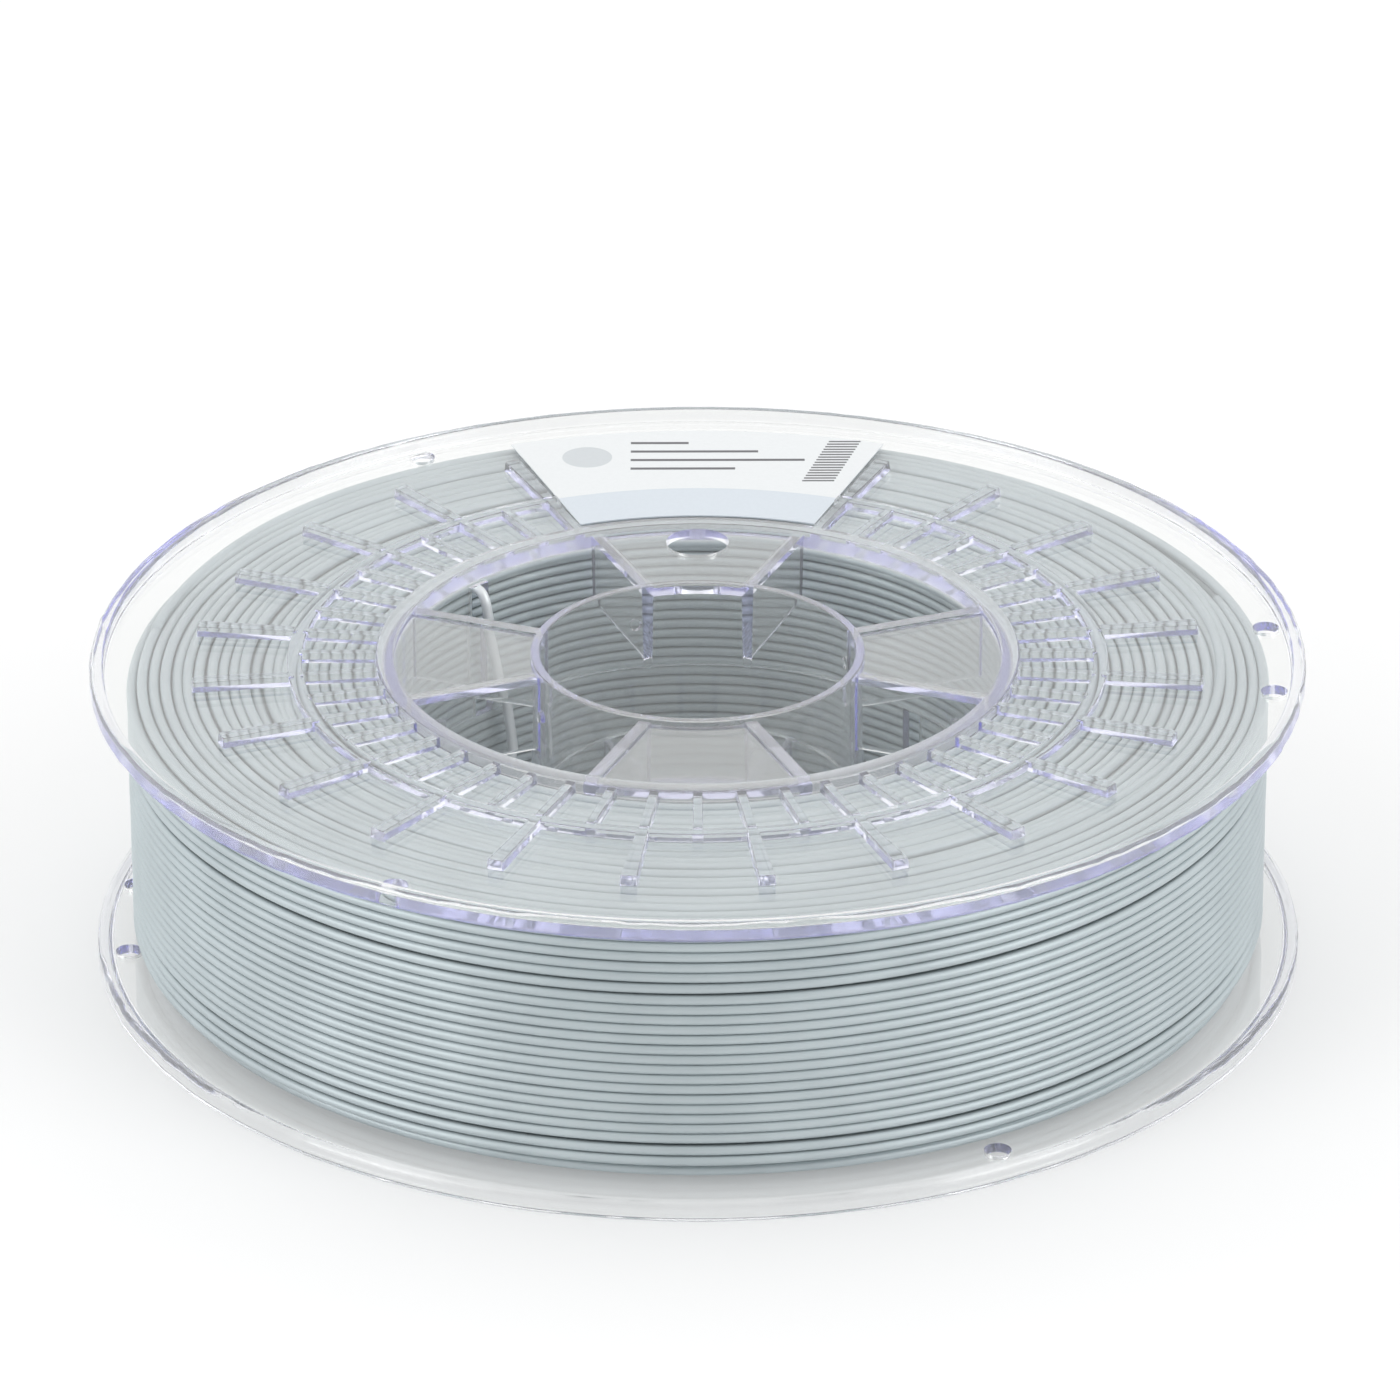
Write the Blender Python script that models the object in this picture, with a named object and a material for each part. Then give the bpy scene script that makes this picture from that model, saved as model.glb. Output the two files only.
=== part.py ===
"""Filament spool: two clear moulded halves that plug together, a wound coil of filament and a paper label.

Metres, +Z up. The origin is on the spool's axis, on the surface that the lower rim stands on.
"""

import math

import bmesh
import bpy
import numpy as np
from mathutils import Matrix, Vector

# Spool, overall
SPOOL_WIDTH = 0.0526
FLANGE_RADIUS = 0.100
BORE_RADIUS = 0.026
BARREL_RADIUS = 0.0515

# Walls of a moulded half
BORE_WALL = 0.0015
BARREL_WALL = 0.0015
PLATE_THICKNESS = 0.0016
PLATE_RECESS = 0.0019
RIM_HEIGHT = 0.0026
LIP_WIDTH = 0.0023
LIP_EDGE = 0.0005
RIM_SLOPE = 0.003

# Rings on the flange's outer side
HUB_RING_WIDTH = 0.003
POCKET_WIDTH = 0.0121
STEP_RING_WIDTH = 0.0024
STEP_RING_RECESS = 0.0005

# Radial ribs on the flange's outer side
RIB_RECESS = 0.0002
LONG_RIB_COUNT = 24
LONG_RIB_MARGIN = 0.0165
LONG_RIB_INNER_WIDTH = 0.0022
LONG_RIB_OUTER_WIDTH = 0.0030
SHORT_RIB_COUNT = 48
SHORT_RIB_WIDTH = 0.0019
BARE_SECTOR_DEG = 42.0

# Hub: four sector plates, each between two webs that aim a little past the axis
SECTOR_COUNT = 4
SECTOR_RECESS = 0.0009
SECTOR_THICKNESS = 0.0015
WEB_DEG = 22.1
WEB_OFFSET = 0.00195
WEB_THICKNESS = 0.0021
WEB_HEIGHT = 0.0132
WEB_RECESS = 0.0006

# Holes: the finger hole in the back sector plate, the rim holes and the slot for the filament's start
FINGER_HOLE_RADIUS = 0.0053
FINGER_HOLE_WALL_GAP = 0.0001
RIM_HOLE_RADIUS = 0.0022
RIM_HOLE_INSET = 0.005
RIM_HOLE_PAIR_DEG = 14.8
RIM_HOLE_STEP_DEG = 120.0
SLOT_DEG = 137.0
SLOT_WIDTH = 0.004
SLOT_RECESS = 0.0040

# Tabs that locate one half in the other
TAB_DEG = 20.0
TAB_HALF_DEG = 8.0
TAB_WALL = 0.0014
TAB_REACH = 0.004
TAB_ROOT_INSET_DEG = 1.0
TAB_ROOT_MARGIN = 0.0006

# Filament
FILAMENT_DIAMETER = 0.00175
TURN_GAP = 0.00045
WINDING_MARGIN = 0.006
MOST_TURNS = 24
POINTS_PER_TURN = 24
LEAST_TURN_GAP = 0.0004
LEAD_IN_DEG = 1.25
LEAD_OUT_DEG = 1.875
FACE_RING_COUNT = 8
FACE_RING_DEPTH = 0.0005

# Label
LABEL_HALF_DEG = 20.3
LABEL_MARGIN = 0.0072
LABEL_INNER_GAP = 0.0042
LABEL_THICKNESS = 0.0002

# Fits
CLEARANCE = 0.0003
LABEL_CLEARANCE = 0.0002
MATING_GAP = 0.0003
SINK = 0.0008
OVERCUT = 0.002

# Roundness
TURNED_SEGMENTS = 48
HOLE_SEGMENTS = 16
DEG_PER_ARC_STEP = 5.0
SHARP_DEG = 35.0
LAYER_BEVEL_STEP_COUNT = 1
TAIL_BEVEL_STEP_COUNT = 2

# Finishes: colour, roughness and transmission
CLEAR_PLASTIC = ((0.86, 0.88, 0.94), 0.06, 0.9)
CORE_FILAMENT = ((0.50, 0.55, 0.56), 0.45, 0.0)
LAYER_FILAMENT = ((0.52, 0.57, 0.58), 0.40, 0.0)
TAIL_FILAMENT = ((0.55, 0.60, 0.61), 0.40, 0.0)
LABEL_PAPER = ((0.93, 0.94, 0.95), 0.50, 0.0)

# Sizes worked out from the ones above; heights of a half are taken from the plane where the halves meet
HALF_WIDTH = SPOOL_WIDTH / 2
PLATE_TOP = HALF_WIDTH - PLATE_RECESS
PLATE_BOTTOM = PLATE_TOP - PLATE_THICKNESS
MATING_END = MATING_GAP / 2
BORE_OUTER = BORE_RADIUS + BORE_WALL
BARREL_INNER = BARREL_RADIUS - BARREL_WALL
HUB_RING_OUTER = BARREL_INNER + HUB_RING_WIDTH
STEP_RING_INNER = HUB_RING_OUTER + POCKET_WIDTH
STEP_RING_OUTER = STEP_RING_INNER + STEP_RING_WIDTH
RIB_TOP = HALF_WIDTH - RIB_RECESS
FILAMENT_RADIUS = FILAMENT_DIAMETER / 2
RIM_HOLE_CIRCLE = FLANGE_RADIUS - RIM_HOLE_INSET
FINGER_HOLE_CIRCLE = BARREL_INNER - FINGER_HOLE_WALL_GAP - FINGER_HOLE_RADIUS
WINDING_LOW = HALF_WIDTH - PLATE_BOTTOM
WINDING_HIGH = HALF_WIDTH + PLATE_BOTTOM
TURN_RADIUS = FLANGE_RADIUS - WINDING_MARGIN - FILAMENT_RADIUS
TURN_PITCH = FILAMENT_DIAMETER + TURN_GAP
CORE_INNER = BARREL_RADIUS + CLEARANCE
CORE_OUTER = TURN_RADIUS * math.cos(math.pi / POINTS_PER_TURN) - FILAMENT_RADIUS - CLEARANCE

# Directions that face the bare sector of the flange, and where the coil's free end leaves it
BARE_DEG = 90.0
FREE_END_DEG = 180.0 - RIM_HOLE_STEP_DEG

# Route of the filament's start: out of the coil, through the slot, then down along the barrel's inner side
START_ROUTE = [
    (-0.03752, 0.03498, 0.0478),
    (-0.03650, 0.03404, 0.0475),
    (-0.03565, 0.03335, 0.0460),
    (-0.03520, 0.03340, 0.0430),
    (-0.03455, 0.03400, 0.0390),
    (-0.03370, 0.03480, 0.0340),
    (-0.03280, 0.03560, 0.0280),
    (-0.03190, 0.03620, 0.0200),
    (-0.03160, 0.03630, 0.0155),
]
START_POINT_GAP = 0.0036


def clear_scene():
    """Remove every object that is in the file."""
    for obj in list(bpy.data.objects):
        bpy.data.objects.remove(obj, do_unlink=True)


def on_circle(radius, degrees, height):
    """A point at that radius, angle and height."""
    angle = math.radians(degrees)
    return Vector((radius * math.cos(angle), radius * math.sin(angle), height))


def finished_mesh(shape, name):
    """The mesh of a bmesh shape, with its faces pointing out."""
    bmesh.ops.recalc_face_normals(shape, faces=shape.faces)
    mesh = bpy.data.meshes.new(name)
    shape.to_mesh(mesh)
    shape.free()
    return mesh


def add_turned(shape, profile, segments=TURNED_SEGMENTS):
    """Turn a closed profile of (radius, height) points about Z, as one ring."""
    rings = []
    for step in range(segments):
        degrees = 360 * step / segments
        rings.append([shape.verts.new(on_circle(r, degrees, z)) for r, z in profile])
    for step, ring in enumerate(rings):
        beside = rings[(step + 1) % segments]
        for index in range(len(profile)):
            after = (index + 1) % len(profile)
            shape.faces.new((ring[index], beside[index], beside[after], ring[after]))


def add_sector(shape, inner, outer, start_deg, end_deg, low, high, flare_deg=0.0):
    """A block between two radii, two angles and two heights, whose outer ends reach flare_deg further."""
    steps = max(1, round((end_deg - start_deg) / DEG_PER_ARC_STEP))
    rings = []
    for step in range(steps + 1):
        share = step / steps
        inner_deg = start_deg + (end_deg - start_deg) * share
        outer_deg = inner_deg + flare_deg * (2 * share - 1)
        loop = [
            on_circle(inner, inner_deg, low),
            on_circle(outer, outer_deg, low),
            on_circle(outer, outer_deg, high),
            on_circle(inner, inner_deg, high),
        ]
        rings.append([shape.verts.new(corner) for corner in loop])
    for ring, beside in zip(rings, rings[1:]):
        for index in range(len(ring)):
            after = (index + 1) % len(ring)
            shape.faces.new((ring[index], beside[index], beside[after], ring[after]))
    shape.faces.new(rings[0])
    shape.faces.new(reversed(rings[-1]))


def add_bar(shape, degrees, inner, outer, inner_width, outer_width, low, high, offset=0.0):
    """A straight bar along a radius, or beside it by an offset, with its own width at each end."""
    turn = Matrix.Rotation(math.radians(degrees), 4, "Z")
    outline = [
        (inner, offset - inner_width / 2),
        (outer, offset - outer_width / 2),
        (outer, offset + outer_width / 2),
        (inner, offset + inner_width / 2),
    ]
    bottom = [shape.verts.new(turn @ Vector((x, y, low))) for x, y in outline]
    top = [shape.verts.new(turn @ Vector((x, y, high))) for x, y in outline]
    shape.faces.new(reversed(bottom))
    shape.faces.new(top)
    for index in range(len(outline)):
        after = (index + 1) % len(outline)
        shape.faces.new((bottom[index], bottom[after], top[after], top[index]))


def add_drill(shape, centre, radius, low, high):
    """A round cutter along Z."""
    place = Matrix.Translation((centre.x, centre.y, (low + high) / 2))
    bmesh.ops.create_cone(
        shape,
        cap_ends=True,
        segments=HOLE_SEGMENTS,
        radius1=radius,
        radius2=radius,
        depth=high - low,
        matrix=place,
    )


def is_bare(degrees):
    """True for an angle inside the flange's bare sector, where the label goes."""
    away = (degrees - BARE_DEG + 180) % 360 - 180
    return abs(away) < BARE_SECTOR_DEG / 2


def flange_and_barrel():
    """The turned body of a half: rim, flange plate, hub ring and barrel."""
    profile = [
        (FLANGE_RADIUS, HALF_WIDTH - RIM_HEIGHT),
        (FLANGE_RADIUS, HALF_WIDTH - LIP_EDGE),
        (FLANGE_RADIUS - LIP_EDGE, HALF_WIDTH),
        (FLANGE_RADIUS - LIP_WIDTH, HALF_WIDTH),
        (FLANGE_RADIUS - LIP_WIDTH, PLATE_TOP),
        (HUB_RING_OUTER, PLATE_TOP),
        (HUB_RING_OUTER, HALF_WIDTH),
        (BARREL_INNER, HALF_WIDTH),
        (BARREL_INNER, MATING_END),
        (BARREL_RADIUS, MATING_END),
        (BARREL_RADIUS, PLATE_BOTTOM),
        (FLANGE_RADIUS - RIM_SLOPE, PLATE_BOTTOM),
    ]
    shape = bmesh.new()
    add_turned(shape, profile)
    return finished_mesh(shape, "half_body")


def bore_tube():
    """The tube round the bore."""
    profile = [
        (BORE_RADIUS, MATING_END),
        (BORE_OUTER, MATING_END),
        (BORE_OUTER, HALF_WIDTH),
        (BORE_RADIUS, HALF_WIDTH),
    ]
    shape = bmesh.new()
    add_turned(shape, profile)
    return finished_mesh(shape, "bore_tube")


def web_angle(radius):
    """The angle from a sector plate's middle to the middle of its webs, at that radius."""
    return WEB_DEG - math.degrees(math.asin(WEB_OFFSET / radius))


def sector_plates():
    """The flat plates that carry the bore tube in the barrel, each from web to web."""
    high = HALF_WIDTH - SECTOR_RECESS
    inner = BORE_OUTER - BORE_WALL / 2
    outer = BARREL_INNER + BARREL_WALL / 2
    shape = bmesh.new()
    for index in range(SECTOR_COUNT):
        middle = BARE_DEG + 360 * index / SECTOR_COUNT
        add_sector(
            shape,
            inner,
            outer,
            middle - web_angle(inner),
            middle + web_angle(inner),
            high - SECTOR_THICKNESS,
            high,
            web_angle(outer) - web_angle(inner),
        )
    return finished_mesh(shape, "sector_plates")


def webs():
    """The upright walls under the two edges of each sector plate."""
    high = HALF_WIDTH - WEB_RECESS
    shape = bmesh.new()
    for index in range(SECTOR_COUNT):
        middle = BARE_DEG + 360 * index / SECTOR_COUNT
        for side in (-1, 1):
            add_bar(
                shape,
                middle + side * WEB_DEG,
                BORE_OUTER - BORE_WALL / 2,
                BARREL_INNER + BARREL_WALL / 2,
                WEB_THICKNESS,
                WEB_THICKNESS,
                high - WEB_HEIGHT,
                high,
                -side * WEB_OFFSET,
            )
    return finished_mesh(shape, "webs")


def step_ring():
    """The low ring between the short and the long ribs, open at the bare sector."""
    shape = bmesh.new()
    add_sector(
        shape,
        STEP_RING_INNER,
        STEP_RING_OUTER,
        BARE_DEG + BARE_SECTOR_DEG / 2,
        BARE_DEG + 360 - BARE_SECTOR_DEG / 2,
        PLATE_TOP - SINK,
        HALF_WIDTH - STEP_RING_RECESS,
    )
    return finished_mesh(shape, "step_ring")


def ribs():
    """The long ribs outside the step ring and the short ribs between it and the hub ring."""
    shape = bmesh.new()
    for index in range(LONG_RIB_COUNT):
        degrees = (index + 0.5) * 360 / LONG_RIB_COUNT
        if not is_bare(degrees):
            add_bar(
                shape,
                degrees,
                STEP_RING_OUTER - SINK,
                FLANGE_RADIUS - LONG_RIB_MARGIN,
                LONG_RIB_INNER_WIDTH,
                LONG_RIB_OUTER_WIDTH,
                PLATE_TOP - SINK,
                RIB_TOP,
            )
    for index in range(SHORT_RIB_COUNT):
        degrees = index * 360 / SHORT_RIB_COUNT
        if not is_bare(degrees):
            add_bar(
                shape,
                degrees,
                HUB_RING_OUTER - SINK,
                STEP_RING_INNER + SINK,
                SHORT_RIB_WIDTH,
                SHORT_RIB_WIDTH,
                PLATE_TOP - SINK,
                RIB_TOP,
            )
    return finished_mesh(shape, "ribs")


def tab_angles():
    """The middle angles of a half's two locating tabs."""
    return (TAB_DEG, TAB_DEG + 180)


def tabs():
    """The tongues that reach past the plane where the halves meet, inside the other half's barrel."""
    outer = BARREL_INNER - CLEARANCE
    shape = bmesh.new()
    for middle in tab_angles():
        start = middle - TAB_HALF_DEG
        end = middle + TAB_HALF_DEG
        add_sector(shape, outer - TAB_WALL, outer, start, end, -TAB_REACH, TAB_REACH)
    return finished_mesh(shape, "tabs")


def tab_roots():
    """The blocks that join each tab to its own half's barrel."""
    inner = BARREL_INNER - CLEARANCE - TAB_WALL / 2
    outer = BARREL_INNER + BARREL_WALL / 2
    low = TAB_ROOT_MARGIN
    high = TAB_REACH - TAB_ROOT_MARGIN
    shape = bmesh.new()
    for middle in tab_angles():
        start = middle - TAB_HALF_DEG + TAB_ROOT_INSET_DEG
        end = middle + TAB_HALF_DEG - TAB_ROOT_INSET_DEG
        add_sector(shape, inner, outer, start, end, low, high)
    return finished_mesh(shape, "tab_roots")


def rim_hole_angles():
    """A pair of holes about angle 0, and a single one at each step from it."""
    half_pair = RIM_HOLE_PAIR_DEG / 2
    return (-half_pair, half_pair, RIM_HOLE_STEP_DEG, -RIM_HOLE_STEP_DEG)


def hole_cutters():
    """Cutters for the rim holes and the finger hole."""
    low = PLATE_BOTTOM - OVERCUT
    high = HALF_WIDTH + OVERCUT
    shape = bmesh.new()
    for degrees in rim_hole_angles():
        add_drill(shape, on_circle(RIM_HOLE_CIRCLE, degrees, 0), RIM_HOLE_RADIUS, low, high)
    add_drill(shape, on_circle(FINGER_HOLE_CIRCLE, BARE_DEG, 0), FINGER_HOLE_RADIUS, low, high)
    return finished_mesh(shape, "hole_cutters")


def slot_cutter():
    """Cutter for the slot in the barrel, open where the halves meet."""
    shape = bmesh.new()
    add_bar(
        shape,
        SLOT_DEG,
        BARREL_INNER - OVERCUT,
        BARREL_RADIUS + OVERCUT,
        SLOT_WIDTH,
        SLOT_WIDTH,
        -OVERCUT,
        HALF_WIDTH - SLOT_RECESS,
    )
    return finished_mesh(shape, "slot_cutter")


def add_boolean(target, mesh, operation):
    """Add a Boolean modifier to target that takes a new hidden object with this mesh."""
    tool = bpy.data.objects.new(mesh.name, mesh)
    tool.hide_render = True
    tool.display_type = "WIRE"
    bpy.context.scene.collection.objects.link(tool)
    modifier = target.modifiers.new(mesh.name, "BOOLEAN")
    modifier.operation = operation
    modifier.solver = "EXACT"
    modifier.object = tool
    return tool


def half_mesh():
    """One moulded half, standing on the plane where the halves meet."""
    body = bpy.data.objects.new("half_body", flange_and_barrel())
    bpy.context.scene.collection.objects.link(body)
    joined = [bore_tube(), sector_plates(), webs(), step_ring(), ribs(), tabs(), tab_roots()]
    removed = [hole_cutters(), slot_cutter()]
    tools = [add_boolean(body, mesh, "UNION") for mesh in joined]
    tools += [add_boolean(body, mesh, "DIFFERENCE") for mesh in removed]
    bpy.context.view_layer.update()
    depsgraph = bpy.context.evaluated_depsgraph_get()
    mesh = bpy.data.meshes.new_from_object(body.evaluated_get(depsgraph))
    mesh.name = "spool_half"
    for obj in tools + [body]:
        bpy.data.objects.remove(obj, do_unlink=True)
    return mesh


def smooth(mesh):
    """Shade round faces smooth and keep the edges between flat ones."""
    mesh.shade_smooth()
    mesh.set_sharp_from_angle(angle=math.radians(SHARP_DEG))


def make_material(name, finish):
    """A plain plastic or paper material of this finish."""
    colour, roughness, transmission = finish
    material = bpy.data.materials.new(name)
    material.use_nodes = True
    shader = material.node_tree.nodes["Principled BSDF"]
    shader.inputs["Base Color"].default_value = (*colour, 1.0)
    shader.inputs["Roughness"].default_value = roughness
    shader.inputs["Metallic"].default_value = 0.0
    shader.inputs["Transmission Weight"].default_value = transmission
    return material


def add_object(name, data, material, parent):
    """A named object of the model, under the spool's own empty."""
    data.materials.append(material)
    obj = bpy.data.objects.new(name, data)
    obj.parent = parent
    bpy.context.scene.collection.objects.link(obj)
    return obj


def make_halves(parent):
    """Both moulded halves: the same shape, with the lower one turned over about Y."""
    mesh = half_mesh()
    smooth(mesh)
    clear = make_material("clear_plastic_upper", CLEAR_PLASTIC)
    upper = add_object("upper_half", mesh, clear, parent)
    upper.location = (0, 0, HALF_WIDTH)
    turned_over = mesh.copy()
    turned_over.materials.clear()
    clear_below = make_material("clear_plastic_lower", CLEAR_PLASTIC)
    lower = add_object("lower_half", turned_over, clear_below, parent)
    lower.location = (0, 0, HALF_WIDTH)
    lower.rotation_euler = (0, math.pi, 0)


def core_profile():
    """The core's outline, with rings on both ends for the turns that lie there side by side."""
    low = WINDING_LOW + CLEARANCE
    high = WINDING_HIGH - CLEARANCE
    steps = 2 * FACE_RING_COUNT
    face = []
    for step in range(steps + 1):
        radius = CORE_INNER + (CORE_OUTER - CORE_INNER) * step / steps
        sunk = 0 if step % 2 else FACE_RING_DEPTH
        face.append((radius, sunk))
    lower = [(radius, low + sunk) for radius, sunk in face]
    upper = [(radius, high - sunk) for radius, sunk in reversed(face)]
    return lower + upper


def make_core(parent):
    """The inner layers of the coil, as one ring."""
    shape = bmesh.new()
    add_turned(shape, core_profile())
    mesh = finished_mesh(shape, "filament_core")
    smooth(mesh)
    add_object("filament_core", mesh, make_material("filament_core", CORE_FILAMENT), parent)


def outer_layer_points():
    """The outer layer's line: up through a rim hole, round in turns, and square to the upper flange."""
    free_end = HALF_WIDTH - PLATE_TOP - FILAMENT_RADIUS
    first = WINDING_LOW + FILAMENT_DIAMETER
    last = WINDING_HIGH - CLEARANCE - FILAMENT_DIAMETER - FILAMENT_RADIUS
    turns = min(MOST_TURNS, math.floor((last - first) / TURN_PITCH))
    pitch = (last - first) / turns
    step_deg = 360 / POINTS_PER_TURN
    points = [
        on_circle(RIM_HOLE_CIRCLE, FREE_END_DEG, free_end),
        on_circle(RIM_HOLE_CIRCLE, FREE_END_DEG, WINDING_LOW),
        on_circle(RIM_HOLE_CIRCLE, FREE_END_DEG + LEAD_IN_DEG, WINDING_LOW + FILAMENT_RADIUS),
    ]
    for index in range(1, turns * POINTS_PER_TURN + 1):
        height = first + pitch * index / POINTS_PER_TURN
        points.append(on_circle(TURN_RADIUS, FREE_END_DEG + step_deg * index, height))
    end_deg = FREE_END_DEG + LEAD_OUT_DEG
    points.append(on_circle(TURN_RADIUS, end_deg, last + FILAMENT_RADIUS))
    points.append(on_circle(TURN_RADIUS, end_deg, WINDING_HIGH - CLEARANCE))
    return points


def least_self_gap(points):
    """The least gap from the tube to itself, between stretches that are half a turn or more apart."""
    line = np.array(points)
    middles = (line[1:] + line[:-1]) / 2
    fine = np.empty((len(line) + len(middles), 3))
    fine[0::2] = line
    fine[1::2] = middles
    apart = POINTS_PER_TURN
    least = math.inf
    for index in range(len(fine) - apart):
        away = np.linalg.norm(fine[index + apart :] - fine[index], axis=1)
        least = min(least, float(away.min()))
    return least - FILAMENT_DIAMETER


def tube_curve(name, points, bevel_step_count):
    """A round filament along these points, with flat caps."""
    curve = bpy.data.curves.new(name, "CURVE")
    curve.dimensions = "3D"
    curve.bevel_depth = FILAMENT_RADIUS
    curve.bevel_resolution = bevel_step_count
    curve.use_fill_caps = True
    spline = curve.splines.new("POLY")
    spline.points.add(len(points) - 1)
    for target, point in zip(spline.points, points):
        target.co = (*point, 1.0)
    spline.use_smooth = True
    return curve


def make_outer_layer(parent):
    """The outer layer of turns, one unbroken strand."""
    points = outer_layer_points()
    gap = least_self_gap(points)
    print(f"outer layer: least gap to itself {gap * 1000:.2f} mm, over {LEAST_TURN_GAP * 1000:.1f} mm: "
          f"{gap > LEAST_TURN_GAP}")
    curve = tube_curve("filament_outer_layer", points, LAYER_BEVEL_STEP_COUNT)
    material = make_material("filament_outer_layer", LAYER_FILAMENT)
    add_object("filament_outer_layer", curve, material, parent)


def smooth_route(route, point_gap):
    """Points about point_gap apart on a smooth curve through the route's own points."""
    ends = [route[0] * 2 - route[1], *route, route[-1] * 2 - route[-2]]
    points = [route[0]]
    for before, start, end, after in zip(ends, ends[1:], ends[2:], ends[3:]):
        steps = max(1, round((end - start).length / point_gap))
        for step in range(1, steps + 1):
            t = step / steps
            bend_in = start * 2 + (end - before) * t
            bend_out = (before * 2 - start * 5 + end * 4 - after) * t**2
            settle = (start * 3 - before - end * 3 + after) * t**3
            points.append((bend_in + bend_out + settle) / 2)
    return points


def make_start_tail(parent):
    """The start of the filament, through the slot and down inside the barrel."""
    points = smooth_route([Vector(point) for point in START_ROUTE], START_POINT_GAP)
    length = sum((b - a).length for a, b in zip(points, points[1:]))
    print(f"start tail: {length * 1000:.1f} mm long")
    curve = tube_curve("filament_start_tail", points, TAIL_BEVEL_STEP_COUNT)
    material = make_material("filament_start_tail", TAIL_FILAMENT)
    add_object("filament_start_tail", curve, material, parent)


def make_label(parent):
    """The paper label on the upper flange's bare sector."""
    low = HALF_WIDTH + PLATE_TOP + LABEL_CLEARANCE
    shape = bmesh.new()
    add_sector(
        shape,
        HUB_RING_OUTER + LABEL_INNER_GAP,
        FLANGE_RADIUS - LABEL_MARGIN,
        BARE_DEG - LABEL_HALF_DEG,
        BARE_DEG + LABEL_HALF_DEG,
        low,
        low + LABEL_THICKNESS,
    )
    mesh = finished_mesh(shape, "label")
    add_object("label", mesh, make_material("label_paper", LABEL_PAPER), parent)


def main():
    clear_scene()
    spool = bpy.data.objects.new("spool", None)
    bpy.context.scene.collection.objects.link(spool)
    make_halves(spool)
    make_core(spool)
    make_outer_layer(spool)
    make_start_tail(spool)
    make_label(spool)


main()
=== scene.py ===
"""Looks of the filament spool: clear mouldings, wound filament, a plain paper label and a white studio."""

import math
import random

import bmesh
import bpy
import numpy as np
from mathutils import Matrix, Vector


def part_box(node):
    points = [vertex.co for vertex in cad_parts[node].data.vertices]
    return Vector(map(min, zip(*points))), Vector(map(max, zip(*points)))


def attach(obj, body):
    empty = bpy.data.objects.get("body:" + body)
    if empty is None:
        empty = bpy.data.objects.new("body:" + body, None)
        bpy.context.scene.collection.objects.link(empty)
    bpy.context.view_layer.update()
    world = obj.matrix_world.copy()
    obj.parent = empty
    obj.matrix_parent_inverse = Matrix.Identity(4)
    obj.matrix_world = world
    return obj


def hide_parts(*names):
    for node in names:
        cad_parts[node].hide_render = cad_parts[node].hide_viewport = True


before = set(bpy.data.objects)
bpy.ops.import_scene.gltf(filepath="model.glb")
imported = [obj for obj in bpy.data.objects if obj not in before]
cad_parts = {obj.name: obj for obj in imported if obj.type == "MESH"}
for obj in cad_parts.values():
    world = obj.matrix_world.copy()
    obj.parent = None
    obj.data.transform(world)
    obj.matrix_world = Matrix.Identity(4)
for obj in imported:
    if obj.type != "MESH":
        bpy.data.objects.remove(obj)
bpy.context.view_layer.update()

# Sizes read from the CAD parts of model.glb, in metres
HALF_LOW, HALF_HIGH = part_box("upper_half")
LAYER_LOW, LAYER_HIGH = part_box("filament_outer_layer")
LABEL_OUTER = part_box("label")[1].y
SPOOL_WIDTH = HALF_HIGH.z
HALF_WIDTH = SPOOL_WIDTH / 2
FLANGE_RADIUS = HALF_HIGH.x
TAB_REACH = HALF_WIDTH - HALF_LOW.z

# Walls of a moulded half
BORE_RADIUS = 0.0260
BORE_WALL = 0.0015
BARREL_RADIUS = 0.0515
BARREL_WALL = 0.0015
PLATE_THICKNESS = 0.0016
PLATE_RECESS = 0.0019
LIP_WIDTH = 0.0023
RIM_ROUNDING = 0.0011
RIM_DENTS = 0.00022
RIM_SEED = 7
MATING_GAP = 0.00004

# Rings and ribs on the flange's outer side
HUB_RING_WIDTH = 0.0030
POCKET_WIDTH = 0.0121
STEP_RING_WIDTH = 0.0024
STEP_RING_RECESS = 0.0005
RIB_RECESS = 0.0002
RIB_DRAFT = 0.0002
RIB_ROUNDING = 0.00015
LONG_RIB_COUNT = 24
LONG_RIB_MARGIN = 0.0165
LONG_RIB_WIDTHS = (0.0022, 0.0030)
SHORT_RIB_COUNT = 48
SHORT_RIB_WIDTHS = (0.0019, 0.0019)
SHORT_RIB_OVERLAP = 0.0008
BARE_DEG = 90.0
BARE_SECTOR_DEG = 42.0

# Hub
SECTOR_COUNT = 4
SECTOR_RECESS = 0.0009
SECTOR_THICKNESS = 0.0015
WEB_DEG = 22.1
WEB_OFFSET = 0.00195
WEB_THICKNESS = 0.0021
WEB_HEIGHT = 0.0132
WEB_RECESS = 0.0006
WEB_FILLET = 0.0018
WEB_ROUNDING = 0.0006
WEB_TAPER = 0.25
BOSS_DEG = 22.5
BOSS_RADIUS = 0.0013
BOSS_RECESS = 0.0072
BOSS_HEIGHT = 0.0007
BOSS_DRAFT = 0.0004

# Holes and tabs
FINGER_HOLE_RADIUS = 0.0053
FINGER_HOLE_WALL_GAP = 0.0001
RIM_HOLE_RADIUS = 0.0022
RIM_HOLE_INSET = 0.0050
RIM_HOLE_PAIR_DEG = 14.8
RIM_HOLE_STEP_DEG = 120.0
SLOT_DEG = 137.0
SLOT_WIDTH = 0.0040
SLOT_RECESS = 0.0040
TAB_DEG = 20.0
TAB_HALF_DEG = 8.0
TAB_WALL = 0.0014
TAB_GAP = 0.0003
TAB_ROOT_INSET_DEG = 1.0
TAB_ROOT_MARGIN = 0.0006

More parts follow.
